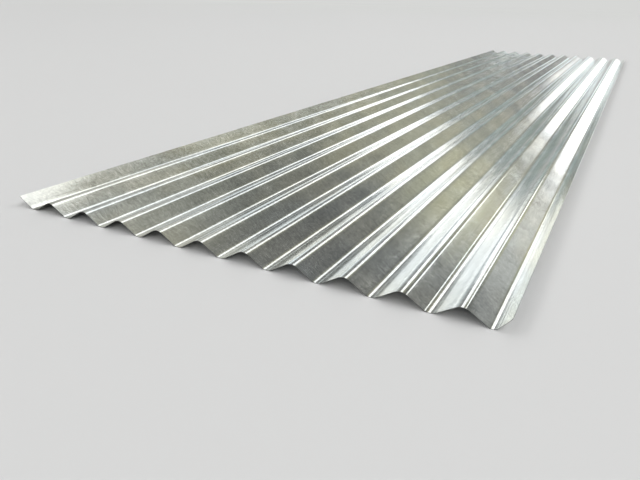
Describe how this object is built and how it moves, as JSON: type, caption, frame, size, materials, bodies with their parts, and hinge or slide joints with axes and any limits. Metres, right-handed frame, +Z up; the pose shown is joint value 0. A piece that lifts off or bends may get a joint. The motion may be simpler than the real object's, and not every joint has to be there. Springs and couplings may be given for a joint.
{
  "type": "corrugated metal sheet",
  "caption": "Galvanised steel sheet rolled to round waves along its length, with both long edges turned up and the ends cut square, for roofs and walls.",
  "frame": {"origin": "under the middle of the sheet's outline, on the level that the bottoms of the troughs rest on", "axes": "+Y along the waves, which is the sheet's length; +X across the waves, towards the edge that is turned up more steeply; +Z up"},
  "size_m": [0.8142, 3.66, 0.0198],
  "materials": {
    "galvanised_steel": "bright zinc coat with a fine spangle and faint rolling streaks"
  },
  "bodies": {
    "root": {"corrugated_sheet": "galvanised_steel"}
  },
  "joints": []
}
